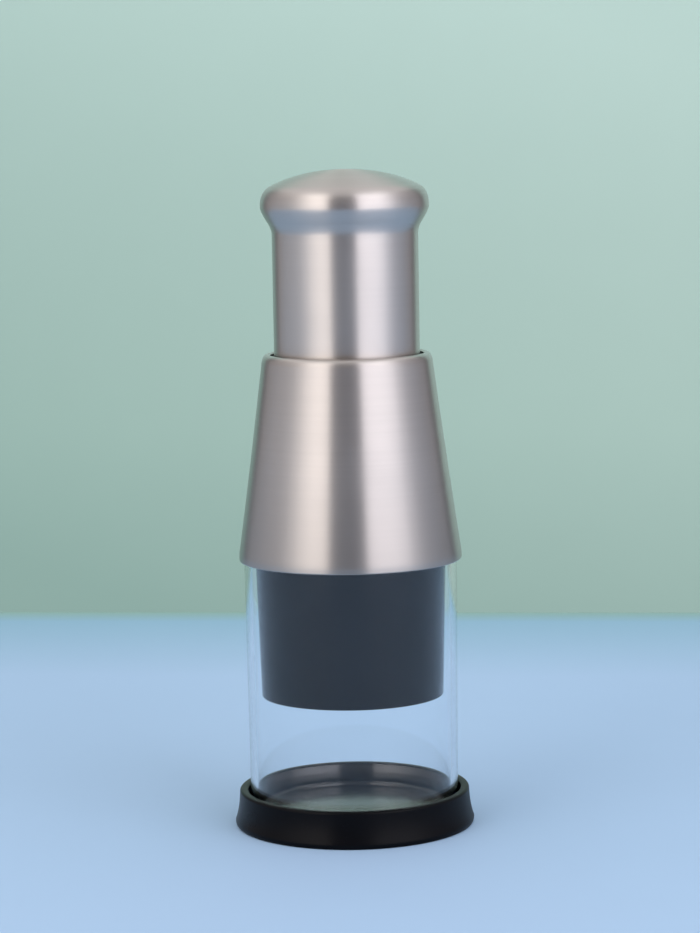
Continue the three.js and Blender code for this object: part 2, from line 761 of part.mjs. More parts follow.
// Pawl ring: each sprung finger ends in a tip that stands in a gap between two teeth.
function pawlRing() {
  const tipEnd = pawlTipStart + pawlTipSweep;
  const slopeUnderTip = (toothDepth * tipEnd * toothCount) / fullTurn;
  const tip = toothRootRadius + slopeUnderTip + slideGap;
  const root = pawlRingInside + pawlRingWall / 2;
  const along = (radius, from, to) => {
    return Array.from({ length: bendSteps + 1 }, (_, i) => {
      return polar(radius, from + ((to - from) * i) / bendSteps);
    });
  };
  const rootStart = fingerSweep - fingerRoot;
  const outline = [
    polar(tip, pawlTipStart),
    ...along(fingerOuter, pawlTipStart, rootStart),
    polar(root, rootStart),
    polar(root, fingerSweep),
    ...along(fingerInner, fingerSweep, tipEnd + pawlTipSweep),
    polar(tip, tipEnd),
  ];
  const finger = raised(outline.reverse(), pawlHeight);
  const band = ring(pawlRingInside, pawlRingRadius, pawlHeight);
  return joined(band, around(pawlCount, finger), pawlLugs(0, 0, pawlHeight));
}

// Ratchet cover: plate with a collar that centres the return spring.
function ratchetCover() {
  const bore = journalRadius + slideGap;
  const outline = rounded([
    [bore, 0],
    [housingRadius, 0],
    [housingRadius, coverThickness, filletSmall],
    [coverCollarRadius, coverThickness],
    [coverCollarRadius, coverThickness + coverCollarHeight, filletSmall],
    [coverCollarRadius - coverCollarWall, coverThickness + coverCollarHeight],
    [coverCollarRadius - coverCollarWall, coverThickness],
    [bore, coverThickness],
  ]);
  const hole = rod(coverScrew.shank + seatGap, coverThickness + 2 * overrun);
  const holes = around(screwCount, hole.translate([coverScrewCircle, 0, -overrun]));
  return cut(revolve(outline), holes);
}

// Centre line of the return spring, with close turns at both ends.
function springLine(length) {
  const endPitch = springWire + springEndGap;
  const openTurns = springTurns - 2 * springEndTurns;
  const openClimb = length - springWire - 2 * springEndTurns * endPitch;
  return Array.from({ length: springTurns * coilSteps + 1 }, (_, i) => {
    const turn = i / coilSteps;
    const open = Math.min(Math.max(turn - springEndTurns, 0), openTurns);
    const close = turn - open;
    const height = springWire / 2 + close * endPitch + (open * openClimb) / openTurns;
    const point = polar(springRadius, turn * fullTurn);
    return new THREE.Vector3(point.x, point.y, height);
  });
}

// Least gap between two stretches of the wire that are more than half a turn apart.
function leastGap(line) {
  let least = Infinity;
  line.forEach((point, i) => {
    for (let j = i + coilSteps / 2 + 1; j < line.length; j++) {
      least = Math.min(least, point.distanceTo(line[j]) - springWire);
    }
  });
  return least;
}

function returnSpring() {
  const length = plungerAt + seatAt - seatGap - headAt - springAt;
  const line = springLine(length);
  console.log("return spring: least gap between turns", leastGap(line).toFixed(2), "mm");
  const rings = line.map((centre) => {
    const outward = new THREE.Vector3(centre.x, centre.y, 0).normalize();
    return Array.from({ length: wireSides }, (_, i) => {
      const point = polar(springWire / 2, (-i * fullTurn) / wireSides);
      return new THREE.Vector3(0, 0, point.y).addScaledVector(outward, point.x).add(centre);
    });
  });
  return skin(rings);
}

// The zigzag's folds, on a circle inside the hub's edge, as a line with rounded bends.
function zigzagLine() {
  const foldRadius = hubRadius - bladeMargin;
  const halfWidth = hubRadius - bladeSideMargin;
  const folds = Array.from({ length: bladeLegs + 1 }, (_, i) => {
    const x = halfWidth * ((2 * i) / bladeLegs - 1);
    const side = i % 2 === 0 ? -1 : 1;
    const y = side * Math.sqrt(foldRadius ** 2 - x ** 2);
    return [x - bladeFold / 2, x + bladeFold / 2].map((edge) => [edge, y, bladeBend]);
  });
  return rounded(folds.flat(), false);
}

// A strip along the zigzag. The section lists sideways and upward places, clockwise from behind.
function zigzagStrip(section) {
  const line = zigzagLine();
  const sides = section.map(([sideways]) => leftOf(line, sideways));
  const rings = line.map((_, i) => {
    return section.map(([, height], j) => new THREE.Vector3(sides[j][i].x, sides[j][i].y, height));
  });
  return skin(rings);
}

function pinHoles(grow) {
  const length = 2 * (hubRadius + overrun);
  const bore = rod(pinRadius + grow, length).rotate([0, 90, 0]).translate([-length / 2, 0, pinLift]);
  return [-pinSpread, pinSpread].map((spread) => bore.translate([0, spread, 0]));
}

// Zigzag blade: one folded strip, its lower edge ground to a wedge from both sides.
function zigzagBlade() {
  const half = bladeThickness / 2;
  const low = bladeInset - bladeHeight;
  const section = [
    [-half, bladeInset],
    [-half, low + bladeBevel],
    [-bladeEdge / 2, low],
    [bladeEdge / 2, low],
    [half, low + bladeBevel],
    [half, bladeInset],
  ];
  return cut(zigzagStrip(section), pinHoles(seatGap));
}

// Blade hub: disc with the zigzag slot below, cross bores, and a boss with the square socket.
function bladeHub() {
  const outline = rounded([
    [0, 0],
    [hubRadius, 0, filletSmall],
    [hubRadius, hubHeight, hubFillet],
    [hubBossRadius, hubHeight, hubFillet],
    [hubBossRadius, hubHeight + hubBossHeight, hubFillet],
    [0, hubHeight + hubBossHeight],
  ], false);
  const half = bladeThickness / 2 + seatGap;
  const slotTop = bladeInset + seatGap;
  const slot = zigzagStrip([[-half, slotTop], [-half, -overrun], [half, -overrun], [half, slotTop]]);
  const socketTop = hubHeight + hubBossHeight + overrun;
  const socket = skin([squareRing(socketFloor, seatGap), squareRing(socketTop, seatGap)]);
  const hole = rod(hubScrew.shank + seatGap, socketFloor + 2 * overrun).translate([0, 0, -overrun]);
  return cut(revolve(outline), slot, pinHoles(seatGap), socket, hole);
}

function crossPin() {
  const reach = Math.sqrt(hubRadius ** 2 - pinSpread ** 2) - pinInset;
  return rod(pinRadius, 2 * reach).translate([0, 0, -reach]);
}

// A pan-head screw, its shank up from zero and its head below.
function screw({ shank, length, head, rise }) {
  const outline = rounded([
    [0, -rise],
    [head, -rise, rise * headFilletShare],
    [head, 0],
    [shank, 0],
    [shank, length],
    [0, length],
  ], false);
  const recess = rod(head * driveRecess.radiusShare, rise * driveRecess.depthShare + overrun, 6);
  return cut(revolve(outline, smallSides), recess.translate([0, 0, -rise - overrun]));
}

// Screws set evenly round the axis, each its own mesh.
function screwRing(name, size, circle, height, headUp) {
  return Array.from({ length: screwCount }, (_, i) => {
    const mesh = piece(name + "_" + (i + 1), screw(size), "zinc", height);
    const place = polar(circle, (i * fullTurn) / screwCount);
    mesh.position.x = place.x;
    mesh.position.y = place.y;
    if (headUp) mesh.rotation.x = Math.PI;
    return mesh;
  });
}

// The blade, its hub and the shaft, which turn together.
function cutterGroup() {
  const cutter = new THREE.Group();
  const pins = [-pinSpread, pinSpread].map((spread, i) => {
    const mesh = piece("blade_pin_" + (i + 1), crossPin(), "zinc", pinLift);
    mesh.rotation.y = quarterTurn;
    mesh.position.y = spread;
    return mesh;
  });
  const swivelAt = shaftTop + seatGap;
  const swivel = ring(shaftScrew.shank + seatGap, swivelRadius, swivelThickness);
  const topScrew = piece("shaft_screw", screw(shaftScrew), "zinc", swivelAt + swivelThickness + seatGap);
  topScrew.rotation.x = Math.PI;
  cutter.add(
    piece("zigzag_blade", zigzagBlade(), "blade"),
    piece("blade_hub", bladeHub(), "black"),
    piece("drive_shaft", driveShaft(), "zinc"),
    piece("hub_screw", screw(hubScrew), "zinc", -seatGap),
    piece("swivel_washer", swivel, "zinc", swivelAt),
    topScrew,
    ...pins,
  );
  return cutter;
}

function plungerGroup() {
  const plunger = new THREE.Group();
  plunger.add(
    piece("plunger_shell", plungerShell(), "steel"),
    piece("plunger_liner", plungerLiner(), "grey"),
    piece("palm_core", palmCore(), "grey"),
    piece("spring_seat", ring(seatInnerRadius, seatOuterRadius, seatThickness), "zinc", seatAt),
    ...screwRing("core_screw", coreScrew, coreScrewCircle, plateAt - seatGap, false),
  );
  const cutter = cutterGroup();
  cutter.position.z = cutterAt - plungerAt;
  plunger.add(cutter);
  return plunger;
}

function headGroup() {
  const head = new THREE.Group();
  const screwsAt = coverAt + coverThickness + seatGap;
  head.add(
    piece("cone_shell", coneShell(), "steel"),
    piece("inner_frame", innerFrame(), "grey"),
    piece("top_guide", topGuide(), "acetal"),
    piece("blade_guard", bladeGuard(), "black", guardAt),
    piece("index_nut", indexNut(), "acetal", nutAt),
    piece("pawl_ring", pawlRing(), "acetal", pawlAt),
    piece("ratchet_cover", ratchetCover(), "grey", coverAt),
    piece("return_spring", returnSpring(), "spring", springAt),
    ...screwRing("cover_screw", coverScrew, coverScrewCircle, screwsAt, true),
  );
  const plunger = plungerGroup();
  plunger.position.z = plungerAt - headAt;
  head.add(plunger);
  return head;
}

function cupGroup() {
  const cup = new THREE.Group();
  const head = headGroup();
  head.position.z = headAt - cupAt;
  cup.add(piece("clear_cup", clearCup(), "clear"), head);
  return cup;
}

const chopper = new THREE.Group();
const cup = cupGroup();
cup.position.z = cupAt;
chopper.add(piece("base_cap", baseCap(), "black"), cup);

export default chopper;
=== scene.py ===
import math

import bpy
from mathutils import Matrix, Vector


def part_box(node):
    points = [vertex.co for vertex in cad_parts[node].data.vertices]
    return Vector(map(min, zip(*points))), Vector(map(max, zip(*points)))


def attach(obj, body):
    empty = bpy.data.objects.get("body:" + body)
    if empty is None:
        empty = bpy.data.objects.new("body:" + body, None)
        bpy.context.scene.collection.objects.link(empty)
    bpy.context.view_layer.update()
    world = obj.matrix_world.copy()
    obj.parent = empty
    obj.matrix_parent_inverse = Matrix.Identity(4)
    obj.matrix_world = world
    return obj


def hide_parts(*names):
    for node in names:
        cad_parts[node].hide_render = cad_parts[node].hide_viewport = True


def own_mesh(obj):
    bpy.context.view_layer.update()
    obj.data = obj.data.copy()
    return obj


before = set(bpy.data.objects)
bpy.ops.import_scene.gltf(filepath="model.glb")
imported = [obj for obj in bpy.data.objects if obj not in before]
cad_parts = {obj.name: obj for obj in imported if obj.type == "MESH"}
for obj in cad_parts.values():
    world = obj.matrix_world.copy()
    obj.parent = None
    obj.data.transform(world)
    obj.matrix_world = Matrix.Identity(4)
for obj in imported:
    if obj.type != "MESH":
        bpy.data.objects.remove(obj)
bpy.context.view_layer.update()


# Camera
# The photograph is taken from about a metre away, slightly above the cone's middle, with a
# short telephoto lens. It looks down a little and leans by a degree.
MM = 0.001
CAMERA_DISTANCE = 1024.7 * MM
CAMERA_HEIGHT = 253.6 * MM
LOOKS_DOWN = math.radians(6.94)
LEANS = math.radians(-1.0)
LENS = 111.9
FILM_WIDTH = 36
SIDE_SHIFT = 0.0011
bpy.ops.object.camera_add(
    location=(0, -CAMERA_DISTANCE, CAMERA_HEIGHT),
    rotation=(math.pi / 2 - LOOKS_DOWN, 0, 0),
)
camera = bpy.context.object
camera.rotation_euler.rotate_axis("Z", LEANS)
camera.data.lens = LENS
camera.data.sensor_width = FILM_WIDTH
camera.data.shift_x = SIDE_SHIFT
bpy.context.scene.camera = camera
bpy.context.scene.view_settings.view_transform = "Standard"


# Floor and backdrop
# A pale blue table top, with painted shade that darkens its far edge and fades it into the
# backdrop's sage, stands in front of a sage backdrop with painted light that makes it lighter
# upwards and to the right. Both are board in matt paint, which gives an even, soft ground.
# The backdrop stands far enough off for the object to be seen from behind.
def linear(code):
    """A colour written as an sRGB hex value, in linear light."""
    parts = [int(code[i : i + 2], 16) / 255 for i in (1, 3, 5)]
    return [p / 12.92 if p <= 0.04045 else ((p + 0.055) / 1.055) ** 2.4 for p in parts] + [1]


def add_node(tree, kind, inputs=None, **settings):
    """Adds a node with its options, each socket filled by a value or by another node's output."""
    made = tree.nodes.new(kind)
    for option, value in settings.items():
        setattr(made, option, value)
    for socket, value in (inputs or {}).items():
        if isinstance(value, bpy.types.NodeSocket):
            tree.links.new(value, made.inputs[socket])
        else:
            made.inputs[socket].default_value = value
    return made


def new_material(name):
    """An empty node material: its tree, and the point in metres on the piece that it paints."""
    material = bpy.data.materials.new(name)
    material.use_nodes = True
    material.node_tree.nodes.clear()
    place = add_node(material.node_tree, "ShaderNodeTexCoord").outputs["Object"]
    return material, material.node_tree, place


def finish_material(tree, shader):
    """Sends a shader to the material's surface."""
    add_node(tree, "ShaderNodeOutputMaterial", {"Surface": shader.outputs["BSDF"]})


def board_with_painted_light_and_shade(name, way, start, end, stops, roughness):
    """Matt paint on board, with painted light and shade graded along a direction through stops of
    (share, colour), a faint mottle about 70 mm wide and a grain about 1 mm wide."""
    material, tree, place = new_material(name)
    cloud = add_node(tree, "ShaderNodeTexNoise", {"Vector": place, "Scale": 14, "Detail": 3})
    along = add_node(tree, "ShaderNodeVectorMath", {0: place, 1: way}, operation="DOT_PRODUCT")
    painted_shading_grade = add_node(
        tree,
        "ShaderNodeMapRange",
        {"Value": along.outputs["Value"], "From Min": start, "From Max": end},
    )
    # The ramp paints light and shade: a darker back edge on the table, a lighter top and right
    # side on the backdrop.
    tint = add_node(tree, "ShaderNodeValToRGB", {"Fac": painted_shading_grade.outputs["Result"]})
    ramp = tint.color_ramp
    while len(ramp.elements) < len(stops):
        ramp.elements.new(1)
    for element, (share, colour) in zip(ramp.elements, stops):
        element.position = share
        element.color = linear(colour)
    shade = add_node(
        tree,
        "ShaderNodeMapRange",
        {"Value": cloud.outputs["Fac"], "To Min": 0.985, "To Max": 1.015},
    )
    mottled = add_node(
        tree,
        "ShaderNodeVectorMath",
        {"Vector": tint.outputs["Color"], "Scale": shade.outputs["Result"]},
        operation="SCALE",
    )
    grain = add_node(tree, "ShaderNodeTexNoise", {"Vector": place, "Scale": 900, "Detail": 2})
    bump = add_node(
        tree,
        "ShaderNodeBump",
        {"Height": grain.outputs["Fac"], "Strength": 0.08, "Distance": 0.1 * MM},
    )
    shader = add_node(
        tree,
        "ShaderNodeBsdfPrincipled",
        {"Base Color": mottled.outputs["Vector"], "Roughness": roughness,
         "Normal": bump.outputs["Normal"]},
    )
    finish_material(tree, shader)
    return material


TABLE_SIDE = 2.9
TABLE_BACK = 440 * MM
TABLE_FRONT = -580 * MM
BACK_TURN = math.radians(-6)
SHADED_FROM = 270 * MM
WALL_PLACE = 1.3
WALL_WIDE = 2.1
WALL_TALL = 1.9
WALL_FOOT = -0.4
DIM_BELOW = -212 * MM
LIGHT_ABOVE = 391 * MM
LIGHTER_TOWARDS = (0.4, 0, 1)
# The table's stops after the first are painted shade, darker towards its back edge; the last one
# fades it into the backdrop's sage.
TABLE_TINT_AND_PAINTED_SHADE = [(0, "#A7C6E6"), (0.84, "#8EB8D1"), (1, "#8AB0A9")]
# The backdrop's stops are painted light: it is graded lighter upwards and to the right.
WALL_TINT_AND_PAINTED_LIGHT = [(0, "#A6CFC4"), (1, "#CDEEE3")]
BOARD_ROUGHNESS = 0.75
bpy.ops.object.select_all(action="DESELECT")
bpy.ops.mesh.primitive_plane_add(size=TABLE_SIDE, location=(0, 0, 0))
floor = bpy.context.object
floor.name = "table_top"
bpy.ops.object.mode_set(mode="EDIT")
bpy.ops.mesh.select_all(action="SELECT")
towards_back = (-math.sin(BACK_TURN), math.cos(BACK_TURN), 0)
bpy.ops.mesh.bisect(plane_co=(0, TABLE_BACK, 0), plane_no=towards_back, clear_outer=True)
bpy.ops.mesh.select_all(action="SELECT")
bpy.ops.mesh.bisect(plane_co=(0, TABLE_FRONT, 0), plane_no=(0, 1, 0), clear_inner=True)
bpy.ops.object.mode_set(mode="OBJECT")
floor.data.materials.append(
    board_with_painted_light_and_shade(
        "table board with painted shade", towards_back, SHADED_FROM, TABLE_BACK * math.cos(BACK_TURN),
        TABLE_TINT_AND_PAINTED_SHADE, BOARD_ROUGHNESS,
    )
)
bpy.ops.object.select_all(action="DESELECT")
bpy.ops.mesh.primitive_plane_add(
    size=WALL_WIDE, location=(0, 0, WALL_FOOT + WALL_TALL / 2), rotation=(math.pi / 2, 0, 0)
)
bpy.ops.transform.resize(value=(1, 1, WALL_TALL / WALL_WIDE))
bpy.ops.object.transform_apply(location=True, rotation=True, scale=True)
wall = bpy.context.object
wall.name = "backdrop"
wall.location.y = WALL_PLACE
wall.rotation_euler.z = BACK_TURN
wall.data.materials.append(
    board_with_painted_light_and_shade(
        "backdrop board with painted light", LIGHTER_TOWARDS, DIM_BELOW, LIGHT_ABOVE,
        WALL_TINT_AND_PAINTED_LIGHT, BOARD_ROUGHNESS,
    )
)


# Lights
# Two banks of upright soft strips reach from each side of the camera round to the object's sides,
# weaker towards their far ends. They give the steel its two upright bright bands, and the gap
# behind the camera the dark one. A wide panel overhead and a weak even sky fill the rest.
BANK_DISTANCE = 1.5
BANK_HEIGHT = 0.75
BANK_TALL = 2.2
BANK_GLOW = 2.1
STRIP_ANGLE = 12
BANKS = {
    "left_bank": {
        "start": -23,
        "tint": "#FFF8F4",
        "shares": (1, 1, 0.84, 0.54, 0.32, 0.24, 0.21, 0.16, 0.12),
    },
    "right_bank": {
        "start": 17.4,
        "tint": "#FBF8FF",
        "shares": (1, 1, 1, 0.9, 0.52, 0.27, 0.18, 0.13, 0.1),
    },
}
strip_width = 2 * BANK_DISTANCE * math.tan(math.radians(STRIP_ANGLE / 2))
for name, bank in BANKS.items():
    outwards = math.copysign(1, bank["start"])
    for i, share in enumerate(bank["shares"]):
        turn = math.radians(bank["start"] + outwards * STRIP_ANGLE * (i + 0.5))
        place = (BANK_DISTANCE * math.sin(turn), -BANK_DISTANCE * math.cos(turn), BANK_HEIGHT)
        bpy.ops.object.light_add(type="AREA", location=place, rotation=(math.pi / 2, 0, turn))
        strip = bpy.context.object
        strip.name = f"{name}_{i + 1}"
        strip.data.shape = "RECTANGLE"
        strip.data.size = strip_width
        strip.data.size_y = BANK_TALL
        strip.data.energy = share * BANK_GLOW * math.pi * strip_width * BANK_TALL
        strip.data.color = linear(bank["tint"])[:3]

OVERHEAD_SIZE = 4
OVERHEAD_HEIGHT = 1.9
OVERHEAD_BACK = 0.2
OVERHEAD_GLOW = 0.75
bpy.ops.object.light_add(type="AREA", location=(0, OVERHEAD_BACK, OVERHEAD_HEIGHT))
overhead = bpy.context.object
overhead.name = "overhead_panel"
overhead.data.size = OVERHEAD_SIZE
overhead.data.energy = OVERHEAD_GLOW * math.pi * OVERHEAD_SIZE**2

SKY_TINT = "#D8CFD4"
SKY_GLOW = 0.32
sky = bpy.data.worlds.new("studio")
bpy.context.scene.world = sky
sky.use_nodes = True
sky.node_tree.nodes.clear()
fill = add_node(
    sky.node_tree, "ShaderNodeBackground", {"Color": linear(SKY_TINT), "Strength": SKY_GLOW}
)
add_node(sky.node_tree, "ShaderNodeOutputWorld", {"Surface": fill.outputs["Background"]})


# Base cap
# A soft cover moulded in black plastic, satin outside and polished inside. A groove grips the
# cup's lower edge, a raised platform with a low ring round it takes the blade's edge, and the
# cap stands on the ring round its hollow underside.
SIDES = 160
SMOOTH_BELOW = math.radians(35)
MERGE = 0.001 * MM
SEAM = 0.005 * MM
PICK = 0.01 * MM
STAY_REACH = 1.4
STAY_ROOM = 3


def curve_points(start, towards, end, steps=10):
    """Points of a smooth bend between two points, drawn towards a third."""
    a, b, c = (Vector(p) for p in (start, towards, end))
    shares = [i / steps for i in range(steps + 1)]
    return [tuple(a * (1 - s) ** 2 + b * 2 * s * (1 - s) + c * s**2) for s in shares]


def select_points(piece, wanted):
    """In edit mode, selects the vertices that a test on their place picks."""
    bpy.ops.mesh.select_all(action="DESELECT")
    bpy.ops.object.mode_set(mode="OBJECT")
    for vertex in piece.data.vertices:
        vertex.select = wanted(vertex.co)
    bpy.ops.object.mode_set(mode="EDIT")


def draw_line(name, points):
    """One vertex extruded from point to point, left in edit mode."""
    bpy.ops.object.select_all(action="DESELECT")
    bpy.ops.mesh.primitive_plane_add(size=MM, location=(0, 0, 0))
    piece = bpy.context.object
    piece.name = name
    bpy.ops.object.mode_set(mode="EDIT")
    bpy.ops.mesh.select_all(action="SELECT")
    bpy.ops.mesh.merge(type="CENTER")
    last = Vector(points[0])
    bpy.ops.transform.translate(value=last)
    for point in points[1:]:
        step = Vector(point) - last
        bpy.ops.mesh.extrude_region_move(TRANSFORM_OT_translate={"value": step})
        last = Vector(point)
    return piece


def round_corners(piece, corners, segments=4):
    """In edit mode, rounds each corner ((x, y, z), reach) of a drawn line by a vertex bevel."""
    for place, reach in corners:
        target = Vector(place)
        select_points(piece, lambda co: (co - target).length < PICK)
        bpy.ops.mesh.bevel(
            offset=reach, offset_type="OFFSET", segments=segments, affect="VERTICES"
        )


def with_stays(points, reaches):
    """Adds a point on each side of every corner to be rounded, a little past the rounding's
    end, so that its shading doesn't spread along the straight walls. Short walls get none."""
    held = []
    count = len(points)
    for i, (point, reach) in enumerate(zip(points, reaches)):
        here = Vector(point)
        stays = []
        for other in (points[i - 1], points[(i + 1) % count]):
            way = Vector(other) - here
            room = way.length > STAY_ROOM * reach
            stay = tuple(here + way.normalized() * reach * STAY_REACH)
            stays.append([stay] if reach and room else [])
        held += [*stays[0], point, *stays[1]]
    return held


def turned(name, outline, closed=True):
    """A line of (radius, height) or (radius, height, rounding), spun round the axis by hand."""
    points = [(corner[0], 0, corner[1]) for corner in outline]
    reaches = [corner[2] if len(corner) == 3 else 0 for corner in outline]
    line = with_stays(points, reaches)
    if closed:
        line.append(line[0])
    piece = draw_line(name, line)
    bpy.ops.mesh.select_all(action="SELECT")
    bpy.ops.mesh.remove_doubles(threshold=MERGE)
    round_corners(piece, [pair for pair in zip(points, reaches) if pair[1]])
    bpy.ops.mesh.select_all(action="SELECT")
    bpy.ops.mesh.spin(steps=SIDES, angle=2 * math.pi, center=(0, 0, 0), axis=(0, 0, 1))
    bpy.ops.mesh.select_all(action="SELECT")
    bpy.ops.mesh.remove_doubles(threshold=SEAM)
    bpy.ops.mesh.normals_make_consistent(inside=False)
    bpy.ops.object.mode_set(mode="OBJECT")
    bpy.ops.object.shade_smooth_by_angle(angle=SMOOTH_BELOW)
    return piece


def apply_modifier(piece, kind, **settings):
    """Adds a modifier with its settings and applies it to the mesh."""
    modifier = piece.modifiers.new(kind, kind)
    for option, value in settings.items():
        setattr(modifier, option, value)
    bpy.context.view_layer.objects.active = piece
    bpy.ops.object.modifier_apply(modifier=modifier.name)


def moulded_black(name, colour, roughness, specular, grain, dust):
    """Glossy black moulded plastic: a deep even colour with soft broad highlights, a faint
    orange-peel as wide as the grain given, specks of dust 0.4 mm wide, and light handling marks
    that dull the gloss in patches about 26 mm wide."""
    material, tree, place = new_material(name)
    patches = add_node(tree, "ShaderNodeTexNoise", {"Vector": place, "Scale": 38, "Detail": 4})
    gloss = add_node(
        tree,
        "ShaderNodeMapRange",
        {"Value": patches.outputs["Fac"], "From Min": 0.3, "From Max": 0.75,
         "To Min": roughness, "To Max": roughness * 1.6},
    )
    specks = add_node(tree, "ShaderNodeTexNoise", {"Vector": place, "Scale": 2600, "Detail": 1})
    speck_ramp = add_node(
        tree,
        "ShaderNodeMapRange",
        {"Value": specks.outputs["Fac"], "From Min": 0.72, "From Max": 0.8, "To Max": dust},
    )
    tint = add_node(
        tree,
        "ShaderNodeMix",
        {"Factor": speck_ramp.outputs["Result"], "A": linear(colour), "B": linear("#4A4E55")},
        data_type="RGBA",
    )
    peel = add_node(tree, "ShaderNodeTexNoise", {"Vector": place, "Scale": 1 / grain, "Detail": 2})
    bump = add_node(
        tree,
        "ShaderNodeBump",
        {"Height": peel.outputs["Fac"], "Strength": 0.04, "Distance": 0.05 * MM},
    )
    shader = add_node(
        tree,
        "ShaderNodeBsdfPrincipled",
        {"Base Color": tint.outputs["Result"], "Roughness": gloss.outputs["Result"],
         "IOR": 1.45, "Specular IOR Level": specular, "Normal": bump.outputs["Normal"]},
    )
    finish_material(tree, shader)
    return material


low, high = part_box("base_cap")
CAP_RADIUS = high[0]
RIM_TOP = high[2]
GROOVE_FLOOR = 4 * MM
PLATFORM_TOP = 6.2 * MM
CUP_FOOT_RADIUS = 37.25 * MM
CUP_WALL = 2.5 * MM
CAP_FLOOR = 2.3 * MM
RIM_SEAT = CUP_FOOT_RADIUS + 0.3 * MM
RIM_INSIDE = RIM_SEAT + 0.85 * MM
RIM_OUTSIDE = RIM_INSIDE + 2.9 * MM
PLATFORM_RADIUS = CUP_FOOT_RADIUS - CUP_WALL - 1.15 * MM
RING_TOP = PLATFORM_TOP + 1 * MM
RING_INSIDE = 30.3 * MM
RING_SLOPE = 0.2 * MM
FOOT_RADIUS = CAP_RADIUS - 0.8 * MM
FOOT_INSIDE = FOOT_RADIUS - 6 * MM
FOOT_RISE = 1.7 * MM
SKIRT_KNEE = 5.5 * MM
SEAT_TOP = GROOVE_FLOOR + 5.5 * MM
INSIDE_MARGIN = 0.1 * MM
skirt = curve_points(
    (CAP_RADIUS, FOOT_RISE),
    (RIM_OUTSIDE + 0.3 * MM, SKIRT_KNEE),
    (RIM_OUTSIDE, RIM_TOP - 1 * MM),
)
foot_bend = curve_points((FOOT_RADIUS, 0), (CAP_RADIUS, 0.1 * MM), (CAP_RADIUS, FOOT_RISE), 4)
base_cap = turned(
    "base_cap_moulding",
    [
        (0, PLATFORM_TOP - CAP_FLOOR),
        (PLATFORM_RADIUS - CAP_FLOOR, PLATFORM_TOP - CAP_FLOOR, 0.8 * MM),
        (PLATFORM_RADIUS - CAP_FLOOR, GROOVE_FLOOR - CAP_FLOOR, 0.4 * MM),
        (FOOT_INSIDE, GROOVE_FLOOR - CAP_FLOOR, 0.5 * MM),
        (FOOT_INSIDE, 0, 0.6 * MM),
        *foot_bend,
        *skirt[1:],
        (RIM_OUTSIDE, RIM_TOP, 0.9 * MM),
        (RIM_INSIDE, RIM_TOP, 0.7 * MM),
        (RIM_SEAT, SEAT_TOP, 0.6 * MM),
        (RIM_SEAT, GROOVE_FLOOR, 0.5 * MM),
        (PLATFORM_RADIUS, GROOVE_FLOOR, 0.5 * MM),
        (PLATFORM_RADIUS, RING_TOP, 0.6 * MM),
        (RING_INSIDE, RING_TOP, 0.25 * MM),
        (RING_INSIDE - RING_SLOPE, PLATFORM_TOP, 0.15 * MM),
        (0, PLATFORM_TOP),
    ],
    closed=False,
)
base_cap.data.materials.append(
    moulded_black(
        "moulded soft black plastic", "#05060A",
        roughness=0.26, specular=0.1, grain=0.9 * MM, dust=0.15,
    )
)
base_cap.data.materials.append(
    moulded_black(
        "polished soft black plastic", "#080D19",
        roughness=0.13, specular=0.8, grain=0.9 * MM, dust=0.1,
    )
)
bpy.ops.object.mode_set(mode="EDIT")
select_points(
    base_cap,
    lambda co: math.hypot(co.x, co.y) < RIM_INSIDE + INSIDE_MARGIN
    and co.z > GROOVE_FLOOR - INSIDE_MARGIN,
)
base_cap.active_material_index = 1
bpy.ops.object.material_slot_assign()
bpy.ops.object.mode_set(mode="OBJECT")
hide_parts("base_cap")
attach(base_cap, "base")


# Clear cup
# A plain tube moulded in clear glossy plastic, open at both ends and slightly tapered. Its
# rounded edges and thick wall catch the light as bright lines.
def clear_plastic():
    """Clear moulded styrene-acrylonitrile: colourless, with a faint cool tint in the thick of
    the wall, slow flow waves from the mould, and a gloss dulled here and there by washing. Its
    IOR is matched below the usual 1.57, as the wall mirrors little in front of the guard."""
    material, tree, place = new_material("moulded clear plastic")
    haze = add_node(tree, "ShaderNodeTexNoise", {"Vector": place, "Scale": 30, "Detail": 4})
    gloss = add_node(
        tree,
        "ShaderNodeMapRange",
        {"Value": haze.outputs["Fac"], "From Min": 0.35, "From Max": 0.8,
         "To Min": 0.01, "To Max": 0.05},
    )
    stretch = add_node(tree, "ShaderNodeMapping", {"Vector": place, "Scale": (90, 90, 12)})
    flow = add_node(
        tree,
        "ShaderNodeTexNoise",
        {"Vector": stretch.outputs["Vector"], "Scale": 1, "Detail": 1},
    )
    bump = add_node(
        tree,
        "ShaderNodeBump",
        {"Height": flow.outputs["Fac"], "Strength": 0.1, "Distance": 0.05 * MM},
    )
    shader = add_node(
        tree,
        "ShaderNodeBsdfPrincipled",
        {"Base Color": linear("#FDFEFF"), "Roughness": gloss.outputs["Result"], "IOR": 1.39,
         "Transmission Weight": 1, "Normal": bump.outputs["Normal"]},
    )
    finish_material(tree, shader)
    return material


low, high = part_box("clear_cup")
CUP_FOOT = low[2]
CUP_TOP = high[2]
CUP_RADIUS = high[0]
CUP_EDGE = 0.9 * MM
clear_cup = turned(
    "clear_cup_moulding",
    [
        (CUP_FOOT_RADIUS - CUP_WALL, CUP_FOOT, CUP_EDGE),
        (CUP_FOOT_RADIUS, CUP_FOOT, CUP_EDGE),
        (CUP_RADIUS, CUP_TOP, CUP_EDGE),
        (CUP_RADIUS - CUP_WALL, CUP_TOP, CUP_EDGE),
    ],
)
clear_cup.data.materials.append(clear_plastic())
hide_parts("clear_cup")
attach(clear_cup, "cup")


